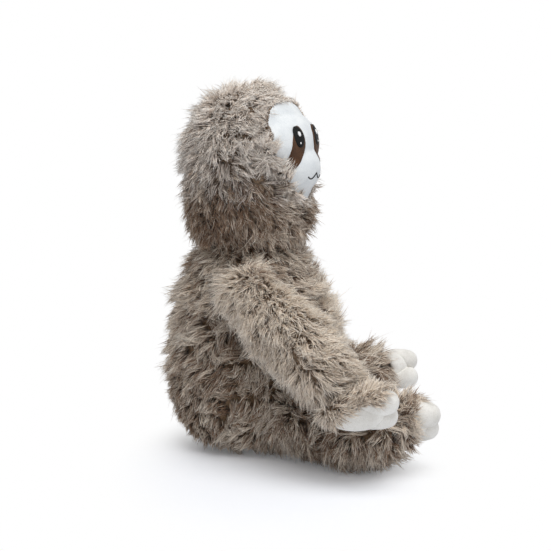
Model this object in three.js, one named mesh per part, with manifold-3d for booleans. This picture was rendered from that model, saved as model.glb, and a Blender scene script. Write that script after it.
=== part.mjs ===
// A sitting plush sloth: six furry covers with their stuffing, a smooth face and four claw mitts.
// Millimetres, +Z up, the sloth looks along -Y and its right side is -X.
// The origin is on the floor, in the middle of the flat seat.
import * as THREE from 'three';
import { mergeVertices } from 'three/addons/utils/BufferGeometryUtils.js';
import Module from 'manifold-3d';

const wasm = await Module();
wasm.setup();

// General sizes: the free gap between pieces, and the cover's wall of backing and packed pile.
const gap = 0.3;
const coverWall = 8;
const seatFlat = 0.5;
const degree = Math.PI / 180;

const torso = {
  halfWidth: 64,
  halfDepth: 71,
  height: 152,
  bellyForward: 3,
  outerSides: 24,
  outerRings: 13,
  innerSides: 16,
  innerRings: 9,
};

const neck = {
  pivotDrop: 14,
  ballRadius: 50,
  openingRadius: 28,
  sides: 30,
  threadRadius: 0.8,
  threadSides: 6,
  threadAngle: 46 * degree,
};

const head = {
  halfWidth: 57,
  halfDepth: 53,
  rise: 6,
  height: 138,
  turn: -30 * degree,
  outerSides: 24,
  outerRings: 14,
  innerSides: 16,
  innerRings: 9,
};

// The face's features stand at shares of its height, so they keep their places on it.
const face = {
  halfWidth: 37,
  chinRise: 45,
  height: 78,
  inset: 2,
  clothThickness: 3,
  snoutRadiusAcross: 26,
  snoutRadiusForward: 24.5,
  snoutRadiusUp: 22,
  snoutForward: 36,
  snoutUpShare: 0.32,
  browRadiusAcross: 38,
  browRadiusForward: 23.5,
  browRadiusUp: 26,
  browForward: 31,
  browUpShare: 0.56,
  sides: 20,
  rings: 12,
};

const patch = { inner: 7, width: 20, topShare: 0.76, height: 38, thickness: 0.8 };
const eye = {
  across: 13.5,
  upShare: 0.652,
  halfWidth: 5.2,
  halfHeight: 7.9,
  lean: 3 * degree,
  thickness: 0.5,
};
const glint = { across: 0.2, rise: 2, radius: 1.7, smallRadius: 0.7, smallDrop: 6.9, thickness: 0.4 };
const mouth = {
  halfWidth: 9.3,
  upShare: 0.292,
  drop: 4.5,
  cornerShare: 0.8,
  stroke: 1.4,
  thickness: 0.5,
};

// The steps of a limb's swing, and how much further the left arm hangs, are in degrees.
const arm = {
  shoulder: new THREE.Vector3(-57, -1, 133),
  reach: new THREE.Vector3(-57, -76, -68),
  leftHang: 15,
  ballRadius: 26,
  radius: 29,
  bow: 6,
  innerFace: 59.5,
  sweep: [-15, -8, 0, 8, 16],
  ballSides: 18,
  outerSides: 15,
  outerRings: 11,
  innerSides: 11,
  innerRings: 7,
};

const leg = {
  hip: new THREE.Vector3(-47, -40, 32),
  reach: new THREE.Vector3(-38, -82, 0),
  ballRadius: 29,
  radius: 32,
  bow: 4,
  sweep: [0, 5, 10, 15, 20],
  ballSides: 18,
  outerSides: 15,
  outerRings: 11,
  innerSides: 11,
  innerRings: 7,
};

const hand = {
  fromArmEnd: new THREE.Vector3(-4, -2, -5),
  halfLength: 24,
  halfWidth: 16,
  halfThickness: 12,
  sides: 12,
};

const foot = {
  fromLegEnd: new THREE.Vector3(3, 4, 8),
  halfLength: 20,
  halfWidth: 16,
  halfThickness: 13,
  sides: 12,
};

// A limb's two claws lie one over the other, the upper one further out.
const claw = { length: 30, radius: 9.5, spreadUp: 6.4, spreadOut: 4.4, rootShare: 0.75, sides: 10, rings: 7 };

const bag = { halfWidth: 40, halfDepth: 34, halfHeight: 13, back: 16, sides: 14 };

// Outlines as shares of the sizes above: [along, half width, half depth].
const torsoShares = [
  [0, 0, 0],
  [0.002, 0.6, 0.6],
  [0.06, 0.82, 0.82],
  [0.17, 0.93, 0.92],
  [0.35, 1, 1],
  [0.52, 0.99, 1],
  [0.68, 0.93, 0.95],
  [0.82, 0.87, 0.88],
  [0.92, 0.8, 0.78],
  [0.985, 0.6, 0.57],
  [1, 0, 0],
];
const torsoLeanShares = [0, 0.6, 1, 1, 0.4, 0];

const headShares = [
  [0, 0, 0],
  [0.015, 0.56, 0.58],
  [0.06, 0.8, 0.83],
  [0.17, 0.93, 0.95],
  [0.33, 1, 0.99],
  [0.5, 1, 1],
  [0.65, 0.96, 0.98],
  [0.79, 0.82, 0.85],
  [0.9, 0.6, 0.62],
  [0.975, 0.32, 0.33],
  [1, 0, 0],
];

const limbShares = [
  [0, 0],
  [0.012, 0.36],
  [0.06, 0.72],
  [0.17, 0.89],
  [0.3, 0.86],
  [0.5, 1],
  [0.72, 0.98],
  [0.88, 0.86],
  [0.96, 0.6],
  [0.99, 0.32],
  [1, 0],
];

const clawShares = [
  [0, 0],
  [0.03, 0.55],
  [0.2, 0.95],
  [0.5, 1],
  [0.8, 0.86],
  [0.95, 0.52],
  [1, 0],
];

// Half of the face's outline, from the middle of the top edge round to the chin.
const faceShares = [
  [0, 1],
  [0.35, 0.99],
  [0.63, 0.93],
  [0.84, 0.81],
  [0.985, 0.63],
  [1, 0.51],
  [0.82, 0.345],
  [0.5, 0.13],
  [0.18, 0.01],
  [0, 0],
];

// The banana outline of an eye patch: [across from its inner edge, down from its top].
const patchShares = [
  [0.2, 0],
  [0.07, 0.086],
  [0.02, 0.216],
  [0, 0.354],
  [0.07, 0.523],
  [0.315, 0.672],
  [0.565, 0.828],
  [0.74, 0.932],
  [0.88, 0.995],
  [0.99, 0.974],
  [0.97, 0.885],
  [0.87, 0.753],
  [0.785, 0.586],
  [0.715, 0.427],
  [0.62, 0.229],
  [0.42, 0.05],
];

const colours = {
  fur: 0x84766a,
  furLight: 0x9a8d80,
  filling: 0xf2f1ec,
  minky: 0xf4f5f6,
  patch: 0x4a3226,
  black: 0x14151a,
  white: 0xffffff,
  thread: 0x6b5e52,
  linen: 0xd8d2c4,
};

// The same surface with one vertex at each place, and smooth normals.
function merge(geometry) {
  const bare = geometry.clone();
  for (const name of Object.keys(bare.attributes)) {
    if (name !== 'position') bare.deleteAttribute(name);
  }
  const merged = mergeVertices(bare);
  merged.computeVertexNormals();
  return merged;
}

// A three.js geometry as a solid that can be joined and cut.
function solidOf(geometry) {
  const merged = merge(geometry);
  return new wasm.Manifold(new wasm.Mesh({
    numProp: 3,
    vertProperties: new Float32Array(merged.attributes.position.array),
    triVerts: new Uint32Array(merged.index.array),
  }));
}

function geometryOf(solid) {
  const mesh = solid.getMesh();
  const geometry = new THREE.BufferGeometry();
  geometry.setAttribute('position', new THREE.BufferAttribute(new Float32Array(mesh.vertProperties), 3));
  geometry.setIndex(new THREE.BufferAttribute(new Uint32Array(mesh.triVerts), 1));
  geometry.computeVertexNormals();
  return geometry;
}

// Rings of an oval section along a path, closed by a pole at each end.
function lofted({ path, stations, across, sides, rings }) {
  const profile = new THREE.CatmullRomCurve3(stations.map((row) => new THREE.Vector3(...row)));
  const points = [];
  const indices = [];
  for (let ring = 0; ring <= rings; ring++) {
    const station = profile.getPoint(ring / rings);
    const along = THREE.MathUtils.clamp(station.x, 0, 1);
    const centre = path.getPointAt(along);
    const depth = path.getTangentAt(along).cross(across).normalize();
    const width = depth.clone().cross(path.getTangentAt(along)).normalize();
    const count = ring === 0 || ring === rings ? 1 : sides;
    for (let side = 0; side < count; side++) {
      const angle = (side / sides) * 2 * Math.PI;
      const point = centre.clone();
      if (count > 1) {
        point.addScaledVector(width, station.y * Math.cos(angle));
        point.addScaledVector(depth, station.z * Math.sin(angle));
      }
      points.push(point.x, point.y, point.z);
    }
  }
  const start = (ring) => (ring === 0 ? 0 : 1 + (ring - 1) * sides);
  for (let side = 0; side < sides; side++) {
    const next = (side + 1) % sides;
    indices.push(0, start(1) + next, start(1) + side);
    for (let ring = 1; ring < rings - 1; ring++) {
      const low = start(ring);
      const high = start(ring + 1);
      indices.push(low + side, low + next, high + next);
      indices.push(low + side, high + next, high + side);
    }
    indices.push(start(rings - 1) + side, start(rings - 1) + next, start(rings));
  }
  const geometry = new THREE.BufferGeometry();
  geometry.setAttribute('position', new THREE.Float32BufferAttribute(points, 3));
  geometry.setIndex(indices);
  geometry.computeVertexNormals();
  return geometry;
}

// The same surface moved outward along its normals, or inward where the distance is negative.
function offset(geometry, distance) {
  const moved = geometry.clone();
  const place = moved.attributes.position;
  const normal = moved.attributes.normal;
  for (let index = 0; index < place.count; index++) {
    place.setXYZ(
      index,
      place.getX(index) + normal.getX(index) * distance,
      place.getY(index) + normal.getY(index) * distance,
      place.getZ(index) + normal.getZ(index) * distance,
    );
  }
  return moved;
}

function ellipsoid(centre, across, forward, up, sides) {
  const geometry = new THREE.SphereGeometry(1, sides, Math.round(sides / 2));
  geometry.rotateX(Math.PI / 2);
  geometry.scale(across, forward, up);
  geometry.translate(centre.x, centre.y, centre.z);
  return solidOf(geometry);
}

const ball = (centre, radius, sides) => ellipsoid(centre, radius, radius, radius, sides);

// A limb's ball has its poles on the swing axis, so its rings turn in those of its socket.
function limbBall(centre, radius, sides) {
  const geometry = new THREE.SphereGeometry(radius, sides, sides / 2);
  geometry.rotateZ(Math.PI / 2);
  geometry.translate(centre.x, centre.y, centre.z);
  return solidOf(geometry);
}

// A faceted socket's radius: its flats stay outside the ball that turns in it.
const limbSocketRadius = (radius, sides) => (radius + gap) / Math.cos(Math.PI / sides);
const neckSocketRadius = (radius, sides) => (radius + gap) / Math.cos(Math.PI / sides) ** 2;

function boxBetween(low, high) {
  const geometry = new THREE.BoxGeometry(high.x - low.x, high.y - low.y, high.z - low.z);
  geometry.translate((high.x + low.x) / 2, (high.y + low.y) / 2, (high.z + low.z) / 2);
  return solidOf(geometry);
}

// Everything under the floor, cut off what sits on it.
const reachFar = torso.height + head.height;
const underFloor = boxBetween(
  new THREE.Vector3(-reachFar, -reachFar, -reachFar),
  new THREE.Vector3(reachFar, reachFar, 0),
);

// A prism along Y over an outline in X and Z, from the head's middle forward.
function facePrism(outline) {
  const shape = new THREE.Shape(outline);
  const geometry = new THREE.ExtrudeGeometry(shape, { depth: head.halfDepth * 2, bevelEnabled: false });
  geometry.rotateX(Math.PI / 2);
  return solidOf(geometry);
}

const mirrored = (outline) => outline.map((point) => new THREE.Vector2(-point.x, point.y)).reverse();

// The torso: an egg with a flat seat, and the neck's ball on top.
const neckPivot = new THREE.Vector3(0, 0, torso.height - neck.pivotDrop);

// An inset above zero gives the space inside a wall of that thickness; below zero, it grows the egg.
function torsoEgg(sides, rings, inset) {
  const bottom = inset - seatFlat;
  const lean = torsoLeanShares.map((share, index) => new THREE.Vector3(
    0,
    -torso.bellyForward * share,
    bottom + ((torso.height - 2 * inset) * index) / (torsoLeanShares.length - 1),
  ));
  return lofted({
    path: new THREE.CatmullRomCurve3(lean),
    stations: torsoShares.map(([along, width, depth]) => [
      along,
      (torso.halfWidth - inset) * width,
      (torso.halfDepth - inset) * depth,
    ]),
    across: new THREE.Vector3(1, 0, 0),
    sides,
    rings,
  });
}

const torsoOuter = solidOf(torsoEgg(torso.outerSides, torso.outerRings, 0))
  .add(ball(neckPivot, neck.ballRadius, neck.sides))
  .subtract(underFloor);

function torsoInner(inset) {
  const egg = solidOf(torsoEgg(torso.innerSides, torso.innerRings, inset));
  return egg.add(ball(neckPivot, neck.ballRadius - inset, torso.innerSides));
}

function uprightCylinder(radius, low, high, sides) {
  const geometry = new THREE.CylinderGeometry(radius, radius, high - low, sides);
  geometry.rotateX(Math.PI / 2);
  geometry.translate(0, 0, (low + high) / 2);
  return solidOf(geometry);
}

// A ring of thread on a sphere round a centre, seen from its axis at the given angle.
function threadRing(distance, angle, thickness, sides) {
  const geometry = new THREE.TorusGeometry(distance * Math.sin(angle), thickness, neck.threadSides, sides);
  geometry.translate(0, 0, distance * Math.cos(angle));
  return geometry;
}

const neckThreadDistance = neck.ballRadius - gap - neck.threadRadius;

function neckThread(thickness) {
  const ring = threadRing(neckThreadDistance, neck.threadAngle, thickness, neck.sides);
  ring.translate(neckPivot.x, neckPivot.y, neckPivot.z);
  return solidOf(ring);
}

const neckGroove = neckThread(neck.threadRadius + 2 * gap);

// One limb: a ball at its root, a waist at the seam, then a stuffed swelling tube.
function limbForm(limb, sides, rings, inset) {
  const root = limb.shoulder ?? limb.hip;
  const direction = limb.reach.clone().normalize();
  const start = root.clone().addScaledVector(direction, inset - limb.ballRadius);
  const end = root.clone().add(limb.reach).addScaledVector(direction, -inset);
  const middle = start.clone().add(end).multiplyScalar(1 / 2);
  middle.x -= limb.bow;
  const path = new THREE.CatmullRomCurve3([start, middle, end]);
  const radius = limb.radius - inset;
  return solidOf(lofted({
    path,
    stations: limbShares.map(([along, size]) => [along, radius * size, radius * size]),
    across: new THREE.Vector3(0, 0, 1),
    sides,
    rings,
  }));
}

// The plug of stuffing that passes through a limb's open root into the torso.
function rootPlug(limb, root, inset) {
  const direction = limb.reach.clone().normalize();
  const radius = limb.ballRadius - inset;
  const geometry = new THREE.CylinderGeometry(radius, radius, limb.ballRadius, limb.innerSides);
  geometry.translate(0, -inset - limb.ballRadius / 2, 0);
  geometry.applyQuaternion(new THREE.Quaternion().setFromUnitVectors(new THREE.Vector3(0, 1, 0), direction));
  geometry.translate(root.x, root.y, root.z);
  return solidOf(geometry);
}

// A solid turned about the axis along X through a pivot, by an angle in degrees.
function turnedAt(pivot, angle, solid) {
  return solid
    .translate([-pivot.x, -pivot.y, -pivot.z])
    .rotate([angle, 0, 0])
    .translate([pivot.x, pivot.y, pivot.z]);
}

// A limb's side to the torso is shaped by it at the steps of the swing that pass it closely.
const grownTorso = solidOf(torsoEgg(torso.outerSides, torso.outerRings, -2 * gap));

function clearOfTorso(tube, pivot, sweep) {
  return sweep.reduce((cut, angle) => cut.subtract(turnedAt(pivot, -angle, grownTorso)), tube);
}

const armSide = boxBetween(
  new THREE.Vector3(-reachFar, -reachFar, -reachFar),
  new THREE.Vector3(-arm.innerFace, reachFar, reachFar),
);
const armTube = limbForm(arm, arm.outerSides, arm.outerRings, 0).intersect(armSide);
const armOuter = clearOfTorso(armTube, arm.shoulder, arm.sweep)
  .add(limbBall(arm.shoulder, arm.ballRadius, arm.ballSides));

const legTube = limbForm(leg, leg.outerSides, leg.outerRings, 0);
const legOuter = clearOfTorso(legTube, leg.hip, leg.sweep)
  .add(limbBall(leg.hip, leg.ballRadius, leg.ballSides))
  .subtract(underFloor);

const flip = (solid) => solid.mirror([1, 0, 0]);

function cutSockets(solid) {
  const shoulder = limbBall(arm.shoulder, limbSocketRadius(arm.ballRadius, arm.ballSides), arm.ballSides);
  const hip = limbBall(leg.hip, limbSocketRadius(leg.ballRadius, leg.ballSides), leg.ballSides);
  return solid.subtract(shoulder).subtract(flip(shoulder)).subtract(hip).subtract(flip(hip));
}

function limbPieces(limb, outer) {
  const root = limb.shoulder ?? limb.hip;
  const inner = (inset) => limbForm(limb, limb.innerSides, limb.innerRings, inset)
    .add(ball(root, limb.ballRadius - inset, limb.innerSides))
    .add(rootPlug(limb, root, inset));
  return {
    cover: outer.subtract(inner(coverWall)),
    stuffing: outer.intersect(inner(coverWall + gap)),
  };
}

const armPieces = limbPieces(arm, armOuter);
const legPieces = limbPieces(leg, legOuter);

// The pellet bag lies at the back of the seat, under the stuffing.
const bagCentre = new THREE.Vector3(0, bag.back, coverWall + bag.halfHeight);
const bagForm = (grow) => ellipsoid(
  bagCentre,
  bag.halfWidth + grow,
  bag.halfDepth + grow,
  bag.halfHeight + grow,
  bag.sides,
);
const torsoFillingSpace = torsoInner(coverWall);
const neckOpening = uprightCylinder(neck.openingRadius, neckPivot.z, reachFar, neck.sides);
const torsoShell = torsoOuter.subtract(torsoFillingSpace).subtract(neckOpening);
const torsoCover = cutSockets(torsoShell).subtract(neckGroove);
const neckFilling = uprightCylinder(neck.openingRadius - gap, neckPivot.z, reachFar, neck.sides);
const torsoStuffing = cutSockets(torsoInner(coverWall + gap).add(neckFilling.intersect(torsoOuter)))
  .subtract(bagForm(gap));
const pelletBag = bagForm(0).intersect(torsoInner(coverWall + gap));

// The head, built looking straight ahead and turned by its group.
const headBottom = torso.height + head.rise;
const faceBottom = headBottom + face.chinRise;
const faceHeightAt = (share) => faceBottom + face.height * share;

function headForm(sides, rings, inset) {
  return solidOf(lofted({
    path: new THREE.LineCurve3(
      new THREE.Vector3(0, 0, headBottom + inset),
      new THREE.Vector3(0, 0, headBottom + head.height - inset),
    ),
    stations: headShares.map(([along, width, depth]) => [
      along,
      (head.halfWidth - inset) * width,
      (head.halfDepth - inset) * depth,
    ]),
    across: new THREE.Vector3(1, 0, 0),
    sides,
    rings,
  }));
}

// The face follows the head just under the pile, with the brow and the snout swelling out of it.
function faceForm(grow) {
  const snout = ellipsoid(
    new THREE.Vector3(0, -face.snoutForward, faceHeightAt(face.snoutUpShare)),
    face.snoutRadiusAcross + grow,
    face.snoutRadiusForward + grow,
    face.snoutRadiusUp + grow,
    face.sides,
  );
  const brow = ellipsoid(
    new THREE.Vector3(0, -face.browForward, faceHeightAt(face.browUpShare)),
    face.browRadiusAcross + grow,
    face.browRadiusForward + grow,
    face.browRadiusUp + grow,
    face.sides,
  );
  return headForm(face.sides, face.rings, face.inset - grow).add(snout).add(brow);
}

function faceOutline(grow) {
  const half = faceShares.map(([across, up]) => new THREE.Vector2(
    across * (face.halfWidth + grow),
    faceBottom - grow + up * (face.height + 2 * grow),
  ));
  const right = new THREE.SplineCurve(half).getPoints(face.sides / 2);
  const left = mirrored(right.slice(1, -1));
  return right.concat(left);
}

const neckSocket = ball(neckPivot, neckSocketRadius(neck.ballRadius, neck.sides), neck.sides);
const faceOpening = facePrism(faceOutline(gap));
const headOuter = headForm(head.outerSides, head.outerRings, 0).subtract(neckSocket);
const headCover = headOuter
  .subtract(headForm(head.innerSides, head.innerRings, coverWall))
  .subtract(faceOpening);
const facePanel = faceForm(0)
  .subtract(faceForm(-face.clothThickness))
  .intersect(facePrism(faceOutline(0)));
const headStuffing = headForm(head.innerSides, head.innerRings, coverWall + gap)
  .add(faceForm(-face.clothThickness - gap).intersect(facePrism(faceOutline(0))))
  .subtract(neckSocket);

// A layer of cloth or thread on the face: between two heights over it, inside an outline.
function faceLayer(outline, low, thickness) {
  return faceForm(low + thickness).subtract(faceForm(low)).intersect(facePrism(outline));
}

const patchLow = gap;
const eyeLow = patchLow + patch.thickness + gap;
const glintLow = eyeLow + eye.thickness + gap;

function patchOutline() {
  const points = patchShares.map(([across, down]) => new THREE.Vector2(
    -patch.inner - across * patch.width,
    faceHeightAt(patch.topShare) - down * patch.height,
  ));
  return new THREE.CatmullRomCurve3(points.map((p) => new THREE.Vector3(p.x, p.y, 0)), true)
    .getPoints(face.sides)
    .slice(0, -1)
    .map((p) => new THREE.Vector2(p.x, p.y));
}

function ovalOutline(across, height, halfWidth, halfHeight, lean, count) {
  const curve = new THREE.EllipseCurve(0, 0, halfWidth, halfHeight, 0, 2 * Math.PI);
  return curve.getPoints(count).slice(0, -1).map((point) => point
    .rotateAround(new THREE.Vector2(0, 0), lean)
    .add(new THREE.Vector2(-across, height)));
}

const eyeHeight = faceHeightAt(eye.upShare);
const eyeOutline = ovalOutline(eye.across, eyeHeight, eye.halfWidth, eye.halfHeight, -eye.lean, face.sides);
const glintTop = ovalOutline(
  eye.across - glint.across,
  eyeHeight + glint.rise,
  glint.radius,
  glint.radius,
  0,
  face.sides / 2,
);
const glintLowDot = ovalOutline(
  eye.across - glint.across,
  eyeHeight + glint.rise - glint.smallDrop,
  glint.smallRadius,
  glint.smallRadius,
  0,
  face.sides / 2,
);

// The smile: a stroke of stitches, high in the middle, low beside it and up again at its corners.
function mouthOutline() {
  const middle = (share) => {
    const turn = Math.PI * mouth.cornerShare * Math.abs(share);
    const height = faceHeightAt(mouth.upShare) - mouth.drop * Math.sin(turn);
    return new THREE.Vector2(share * mouth.halfWidth, height);
  };
  const shares = Array.from({ length: face.sides / 2 + 1 }, (_, index) => (4 * index) / face.sides - 1);
  const upper = shares.map((share) => middle(share).add(new THREE.Vector2(0, mouth.stroke / 2)));
  const lower = shares.map((share) => middle(share).sub(new THREE.Vector2(0, mouth.stroke / 2)));
  return lower.concat(upper.reverse());
}

// Hands and feet: a mitt base with two claws, cut by the limb that carries them.
function clawForm(root, direction) {
  const path = new THREE.LineCurve3(root, root.clone().addScaledVector(direction, claw.length));
  const geometry = lofted({
    path,
    stations: clawShares.map(([along, size]) => [along, claw.radius * size, claw.radius * size]),
    across: new THREE.Vector3(1, 0, 0),
    sides: claw.sides,
    rings: claw.rings,
  });
  return geometry;
}

function mittPieces(mitt, centre, direction, keepOut) {
  const turn = new THREE.Quaternion().setFromUnitVectors(new THREE.Vector3(0, -1, 0), direction);
  const round = new THREE.SphereGeometry(1, mitt.sides, mitt.sides / 2);
  round.rotateX(Math.PI / 2);
  round.scale(mitt.halfThickness, mitt.halfLength, mitt.halfWidth);
  const geometry = merge(round);
  const place = (form) => solidOf(form.applyQuaternion(turn).translate(centre.x, centre.y, centre.z));
  const grown = place(offset(geometry, gap));
  const base = place(geometry).subtract(keepOut);
  const clawAt = (side, grow) => {
    const spread = new THREE.Vector3(-claw.spreadOut, 0, claw.spreadUp);
    const root = centre.clone().addScaledVector(spread, side);
    root.addScaledVector(direction, mitt.halfLength - claw.length * claw.rootShare);
    return solidOf(offset(clawForm(root, direction), grow));
  };
  const upper = clawAt(1, 0).subtract(grown).subtract(keepOut);
  const lower = clawAt(-1, 0).subtract(grown).subtract(keepOut).subtract(clawAt(1, gap));
  return { base, claws: [upper, lower] };
}

const armEnd = arm.shoulder.clone().add(arm.reach);
const legEnd = leg.hip.clone().add(leg.reach);
const handCentre = armEnd.clone().add(hand.fromArmEnd);
const footCentre = legEnd.clone().add(foot.fromLegEnd);
const grownArm = limbForm(arm, arm.outerSides, arm.outerRings, -gap);
const grownLeg = limbForm(leg, leg.outerSides, leg.outerRings, -gap);
const handPieces = mittPieces(hand, handCentre, new THREE.Vector3(0, -1, 0), grownArm.add(grownLeg));
const footPieces = mittPieces(foot, footCentre, new THREE.Vector3(0, -1, 0), grownLeg);

// The left arm hangs further down than the right one does.
const leftArm = (solid) => flip(turnedAt(arm.shoulder, arm.leftHang, solid));

const sloth = new THREE.Group();
sloth.name = 'plush_sloth';
const headGroup = new THREE.Group();
headGroup.rotation.z = head.turn;
sloth.add(headGroup);

function addPiece(name, solid, colour, roughness, group = sloth) {
  const material = new THREE.MeshStandardMaterial({ color: colour, roughness, metalness: 0 });
  const mesh = new THREE.Mesh(geometryOf(solid), material);
  mesh.name = name;
  group.add(mesh);
}

addPiece('torso_cover', torsoCover, colours.fur, 1);
addPiece('torso_stuffing', torsoStuffing, colours.filling, 1);
addPiece('seat_pellet_bag', pelletBag, colours.linen, 0.9);
addPiece('neck_seam_thread', neckThread(neck.threadRadius), colours.thread, 0.8);

const asBuilt = (solid) => solid;
for (const [side, place, placeArm] of [['right', asBuilt, asBuilt], ['left', flip, leftArm]]) {
  addPiece(`${side}_arm_cover`, placeArm(armPieces.cover), colours.furLight, 1);
  addPiece(`${side}_arm_stuffing`, placeArm(armPieces.stuffing), colours.filling, 1);
  addPiece(`${side}_leg_cover`, place(legPieces.cover), colours.furLight, 1);
  addPiece(`${side}_leg_stuffing`, place(legPieces.stuffing), colours.filling, 1);
  addPiece(`${side}_hand_mitt`, placeArm(handPieces.base), colours.minky, 0.95);
  addPiece(`${side}_foot_mitt`, place(footPieces.base), colours.minky, 0.95);
  ['upper', 'lower'].forEach((level, index) => {
    addPiece(`${side}_hand_${level}_claw`, placeArm(handPieces.claws[index]), colours.minky, 0.95);
    addPiece(`${side}_foot_${level}_claw`, place(footPieces.claws[index]), colours.minky, 0.95);
  });
  const outlineFor = (outline) => (side === 'right' ? outline : mirrored(outline));
  const addLayer = (name, outline, low, thickness, colour, roughness) => {
    addPiece(`${side}_${name}`, faceLayer(outlineFor(outline), low, thickness), colour, roughness, headGroup);
  };
  addLayer('eye_patch', patchOutline(), patchLow, patch.thickness, colours.patch, 0.9);
  addLayer('eye', eyeOutline, eyeLow, eye.thickness, colours.black, 0.4);
  addLayer('eye_glint', glintTop, glintLow, glint.thickness, colours.white, 0.5);
  addLayer('eye_small_glint', glintLowDot, glintLow, glint.thickness, colours.white, 0.5);
}

addPiece('head_cover', headCover, colours.fur, 1, headGroup);
addPiece('head_stuffing', headStuffing, colours.filling, 1, headGroup);
addPiece('face_panel', facePanel, colours.minky, 0.95, headGroup);
addPiece('mouth_stitch', faceLayer(mouthOutline(), gap, mouth.thickness), colours.black, 0.8, headGroup);

export default sloth;
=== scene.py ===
import itertools
import math

import bpy
import numpy as np
from mathutils import Matrix, Vector
from mathutils.bvhtree import BVHTree
from mathutils.kdtree import KDTree


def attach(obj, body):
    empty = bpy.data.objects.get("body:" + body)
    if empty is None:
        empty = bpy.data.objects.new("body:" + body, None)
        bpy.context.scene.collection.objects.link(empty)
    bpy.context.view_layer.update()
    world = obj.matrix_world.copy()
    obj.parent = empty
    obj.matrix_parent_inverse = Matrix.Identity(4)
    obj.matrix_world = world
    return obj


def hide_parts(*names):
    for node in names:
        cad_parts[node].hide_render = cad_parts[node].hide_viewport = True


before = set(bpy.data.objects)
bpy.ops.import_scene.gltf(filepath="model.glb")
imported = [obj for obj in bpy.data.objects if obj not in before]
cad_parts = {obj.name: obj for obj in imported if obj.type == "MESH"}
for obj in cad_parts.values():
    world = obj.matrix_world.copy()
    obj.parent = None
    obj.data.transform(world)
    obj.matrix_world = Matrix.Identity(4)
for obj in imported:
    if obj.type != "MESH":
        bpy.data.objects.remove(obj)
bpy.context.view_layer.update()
mm = 0.001
sides = {"right": -1, "left": 1}
print("frame loaded:", len(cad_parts), "nodes")


def addObject(name, data):
    made = bpy.data.objects.new(name, data)
    bpy.context.scene.collection.objects.link(made)
    return made


# The camera stands on the sloth's right, a little above its head, and looks slightly down.
photoCamera = {
    "place": (-1.080, -0.0204, 0.335),
    "pitch": 10.3,  # degrees down
    "focalPixels": 1350,
    "imagePixels": 551,
    "sensor": 36,
}


def addCamera():
    data = bpy.data.cameras.new("photoCamera")
    data.sensor_width = photoCamera["sensor"]
    data.lens = photoCamera["sensor"] * photoCamera["focalPixels"] / photoCamera["imagePixels"]
    camera = addObject("photoCamera", data)
    pitch = math.radians(photoCamera["pitch"])
    look = Vector((math.cos(pitch), 0, -math.sin(pitch)))
    camera.location = photoCamera["place"]
    camera.rotation_euler = look.to_track_quat("-Z", "Y").to_euler()
    bpy.context.scene.camera = camera


def toLinear(hexText):  # an sRGB hex value as a linear colour
    parts = [int(hexText[i:i + 2], 16) / 255 for i in (0, 2, 4)]
    return [p / 12.92 if p <= 0.04045 else ((p + 0.055) / 1.055) ** 2.4 for p in parts] + [1]


plainWhite = toLinear("ffffff")


def setInputs(tree, node, inputs):  # a socket is linked, and anything else is a value
    for key, value in inputs.items():
        if isinstance(value, bpy.types.NodeSocket):
            tree.links.new(value, node.inputs[key])
        else:
            node.inputs[key].default_value = value


def setStops(elements, stops):  # a colour ramp's places and colours
    while len(elements) < len(stops):
        elements.new(0.5)
    for element, (place, hexText) in zip(elements, stops):
        element.position = place
        element.color = toLinear(hexText)


def addNode(tree, kind, inputs=None, stops=None, **settings):
    node = tree.nodes.new(kind)
    for key, value in settings.items():
        setattr(node, key, value)
    setInputs(tree, node, inputs or {})
    if stops:
        setStops(node.color_ramp.elements, stops)
    return node


def newMaterial(name, shader):
    material = bpy.data.materials.new(name)
    material.use_nodes = True
    tree = material.node_tree
    surface = tree.nodes["Principled BSDF"]
    setInputs(tree, surface, shader)
    return material, tree, surface


# Soft studio light: an even sky all round, a large lamp overhead and a weak one at the sloth's right front.
studio = {
    "skyStrength": 0.33,
    "lamps": [
        {"name": "overhead", "place": (-0.5, -0.15, 2.1), "size": 1.3, "power": 30.5},
        {"name": "front", "place": (-1.6, -0.9, 1.2), "size": 1.2, "power": 6},
    ],
    "lampsAimAt": (0, 0, 0.12),
    "floorColour": "f1f3f8",
    "floorGlow": 0.1,
    "floorSize": 12,
    "shadowCentre": (-0.07, -0.025, 0),
    "shadowShape": (1, 1.3, 1),
    "shadowReach": (0.078, 0.18),
}


# 1 for rays from the camera, also by way of gloss or glass, and 0 for light that falls on the sloth.
def seenRays(tree):
    path = addNode(tree, "ShaderNodeLightPath")
    seen = path.outputs["Is Camera Ray"]
    for kind in ("Is Glossy Ray", "Is Transmission Ray"):
        larger = addNode(tree, "ShaderNodeMath", {0: seen, 1: path.outputs[kind]}, operation="MAXIMUM")
        seen = larger.outputs[0]
    return seen


def addLights():
    world = bpy.data.worlds.new("studio")
    bpy.context.scene.world = world
    world.use_nodes = True
    tree = world.node_tree
    tree.nodes.clear()
    light = addNode(tree, "ShaderNodeBackground", {"Color": plainWhite, "Strength": studio["skyStrength"]})
    white = addNode(tree, "ShaderNodeBackground", {"Color": plainWhite, "Strength": 1})
    mix = addNode(tree, "ShaderNodeMixShader", {0: seenRays(tree), 1: light.outputs[0], 2: white.outputs[0]})
    addNode(tree, "ShaderNodeOutputWorld", {0: mix.outputs[0]})
    for lamp in studio["lamps"]:
        data = bpy.data.lights.new(lamp["name"], "AREA")
        data.size = lamp["size"]
        data.energy = lamp["power"]
        made = addObject(lamp["name"], data)
        made.location = lamp["place"]
        aim = Vector(studio["lampsAimAt"]) - made.location
        made.rotation_euler = aim.to_track_quat("-Z", "Y").to_euler()


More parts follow.
